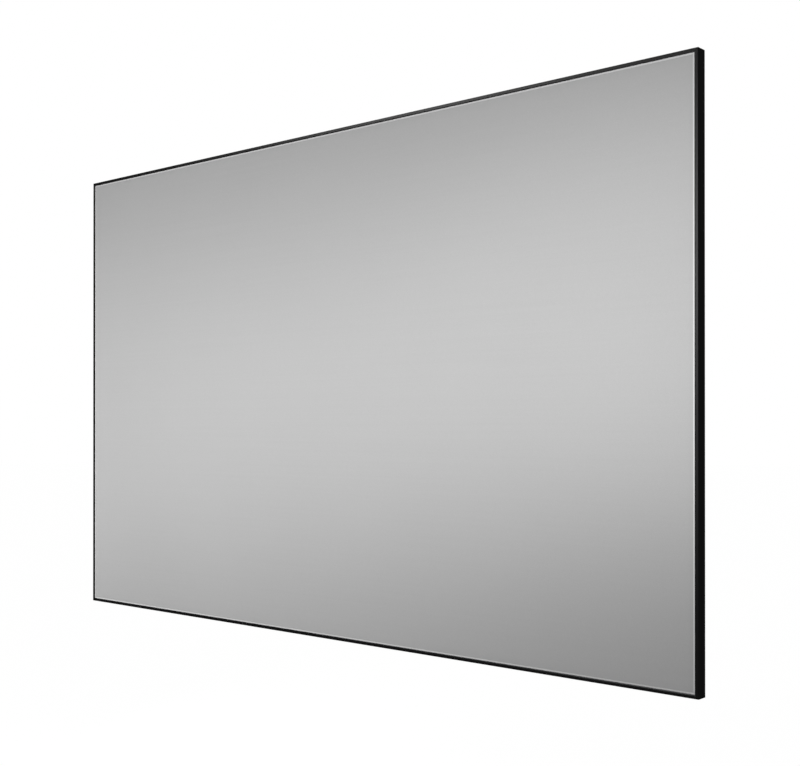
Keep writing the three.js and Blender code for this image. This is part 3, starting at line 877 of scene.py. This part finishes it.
def make_screws(material):
    """Every screw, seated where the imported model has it, each turned a little further."""
    nodes = sorted(name for name in frame["nodes"] if "_screw_" in name)
    places = []
    for name in nodes:
        low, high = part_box(name)
        seat_y = high.y - SCREW_HEAD_HEIGHT * MM
        point = Vector(((low.x + high.x) / 2, seat_y, (low.z + high.z) / 2))
        places.append((point, SCREW_TURN * len(places)))
    screws = repeated("socket_screws", places, screw_pattern(), material)
    soften(screws.data)
    seat(screws, "screw", *nodes)


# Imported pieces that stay


def dress_nodes():
    """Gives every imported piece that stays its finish."""
    level_trim = anodised_trim("black_anodised_trim_level", 0)
    level_rail = anodised_rail("black_anodised_rail_level", 0)
    upright_trim = anodised_trim("black_anodised_trim_upright", 2)
    upright_rail = anodised_rail("black_anodised_rail_upright", 2)
    zinc = zinc_plate()
    cast = cast_aluminium()
    # A name's first words give the finish, and the first line that fits counts
    finishes = [
        ("bezel_trim_left", upright_trim),
        ("bezel_trim_right", upright_trim),
        ("bezel_trim", level_trim),
        ("rail_left", upright_rail),
        ("rail_right", upright_rail),
        ("rail", level_rail),
        ("wall_bracket", zinc),
        ("support_tie", zinc),
        ("support_bar", drawn_aluminium()),
        ("corner_insert", cast),
        ("splice_bar", cast),
    ]
    for node in [o for o in bpy.data.objects if "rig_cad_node" in o]:
        name = node["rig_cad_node"]
        finish = next((made for start, made in finishes if name.startswith(start)), None)
        if finish:
            paint(node, finish)


def paint(node, material):
    """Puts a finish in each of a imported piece's material slots."""
    if not node.material_slots:
        node.data.materials.append(material)
    for slot in node.material_slots:
        slot.material = material


# The studio

FILL_LIGHT = 0.285
FLOOR_DROP = 1.25
FLOOR_REACH = 30.0
FLOOR_GLOW = 1.18
# The rest of the share shows the floor as it is lit, with the shadow on it
FLOOR_GLOW_SHARE = 0.8


def white_to_the_eye(tree):
    """One on camera, glossy and transmission rays, and zero on those that light the object."""
    rays = add(tree, "ShaderNodeLightPath").outputs
    mask = rays["Is Camera Ray"]
    for kind in ("Is Glossy Ray", "Is Transmission Ray"):
        both = {"Value": mask, "Value_001": rays[kind]}
        mask = add(tree, "ShaderNodeMath", both, "Value", operation="MAXIMUM")
    return mask


def make_world():
    """An even soft fill that the camera and reflections see as white."""
    world = bpy.data.worlds.new("studio")
    bpy.context.scene.world = world
    world.use_nodes = True
    tree = world.node_tree
    tree.nodes.clear()
    white = srgb("#FFFFFF")
    lit = {"Color": white, "Strength": FILL_LIGHT}
    seen = {"Color": white, "Strength": 1.0}
    mixed = {
        "Fac": white_to_the_eye(tree),
        "Shader": add(tree, "ShaderNodeBackground", lit, "Background"),
        "Shader_001": add(tree, "ShaderNodeBackground", seen, "Background"),
    }
    mixed = add(tree, "ShaderNodeMixShader", mixed, "Shader")
    add(tree, "ShaderNodeOutputWorld", {"Surface": mixed})


def make_floor():
    """A pale floor well below the screen, nearly white to the camera, that keeps a soft shadow."""
    shape = bmesh.new()
    bmesh.ops.create_grid(shape, x_segments=2, y_segments=2, size=FLOOR_REACH)
    bmesh.ops.translate(shape, verts=shape.verts, vec=(0, 0, -FLOOR_DROP))
    floor = mesh_object("floor", finished_mesh(shape, "floor"))
    material, tree, shader = new_material("pale_painted_floor")
    patchy = mottle(tree, patches(700.0), detail=2.0)
    mixed = {"Factor_Float": patchy, "A_Color": srgb("#F4F4F4"), "B_Color": srgb("#F8F8F8")}
    fill(tree, shader, {
        "Base Color": add(tree, "ShaderNodeMix", mixed, "Result_Color", data_type="RGBA"),
        "Roughness": 0.9,
        "Specular IOR Level": 0.0,
    })
    glow = {"Color": srgb("#FFFFFF"), "Strength": FLOOR_GLOW}
    share = {"Value": white_to_the_eye(tree), "Value_001": FLOOR_GLOW_SHARE}
    mixed = {
        "Fac": add(tree, "ShaderNodeMath", share, "Value", operation="MULTIPLY"),
        "Shader": shader.outputs["BSDF"],
        "Shader_001": add(tree, "ShaderNodeEmission", glow, "Emission"),
    }
    mixed = add(tree, "ShaderNodeMixShader", mixed, "Shader")
    output = next(node for node in tree.nodes if node.bl_idname == "ShaderNodeOutputMaterial")
    fill(tree, output, {"Surface": mixed})
    paint(floor, material)


def make_lamp(name, place, aim, size, roll, power):
    """A soft rectangular lamp at a place in metres, aimed at a point and rolled in radians."""
    light = bpy.data.lights.new(name, "AREA")
    light.shape = "RECTANGLE"
    light.size, light.size_y = size
    light.energy = power
    lamp = mesh_object(name, light)
    back = (Vector(place) - Vector(aim)).normalized()
    right = Vector((0, 0, 1)).cross(back).normalized()
    turned = Matrix((right, back.cross(right), back)).transposed().to_4x4()
    lamp.matrix_world = Matrix.Translation(place) @ turned @ Matrix.Rotation(roll, 4, "Z")
    lamp.visible_camera = False
    return lamp


def make_lamps():
    """Two long low strips in front, turned a little, give the sheet its slanting bright band and
    its darker lower right corner. A long thin tube, slanting up to the left, lights only what is
    glossy, so that the light edge of the black trim rises and fades along its length."""
    make_lamp(
        "strip",
        place=(0.247, -0.556, 0.035),
        aim=(0.142, 0.0, 0.055),
        size=(2.36, 0.89),
        roll=0.138,
        power=6.36,
    )
    make_lamp(
        "side_strip",
        place=(-1.304, -0.618, -0.064),
        aim=(-0.02, 0.0, 0.13),
        size=(2.43, 1.31),
        roll=0.227,
        power=9.4,
    )
    gloss_tube = make_lamp(
        "gloss_tube",
        place=(-1.6, -2.3, 1.47),
        aim=(-1.6, 0.0, 1.47),
        size=(5.5, 0.35),
        roll=-0.52,
        power=352.0,
    )
    gloss_tube.visible_diffuse = False


CAMERA_PLACE = (2.2967, -2.32502, -0.10862)
CAMERA_AZIMUTH = 41.476
CAMERA_ELEVATION = -0.194
CAMERA_LENS = 54.595
SENSOR_WIDTH = 36.0
HORIZON_SHIFT = 0.04745


def make_camera():
    """The photograph's view: from the front right, level, at the height of the screen's middle."""
    camera = bpy.data.cameras.new("camera")
    camera.sensor_width = SENSOR_WIDTH
    camera.lens = CAMERA_LENS
    camera.shift_y = HORIZON_SHIFT
    eye = mesh_object("camera", camera)
    eye.location = CAMERA_PLACE
    tilt = math.radians(90 - CAMERA_ELEVATION)
    eye.rotation_euler = (tilt, 0.0, math.radians(CAMERA_AZIMUTH))
    bpy.context.scene.camera = eye


make_camera()
dress_nodes()
bright_steel = spring_steel()
make_sheet(coated_film(), scrim_back())
make_rods(bright_steel)
make_springs(bright_steel)
make_stitches(sewing_thread())
make_screws(black_oxide())
make_world()
make_floor()
make_lamps()

bpy.context.scene.view_settings.view_transform = "Standard"
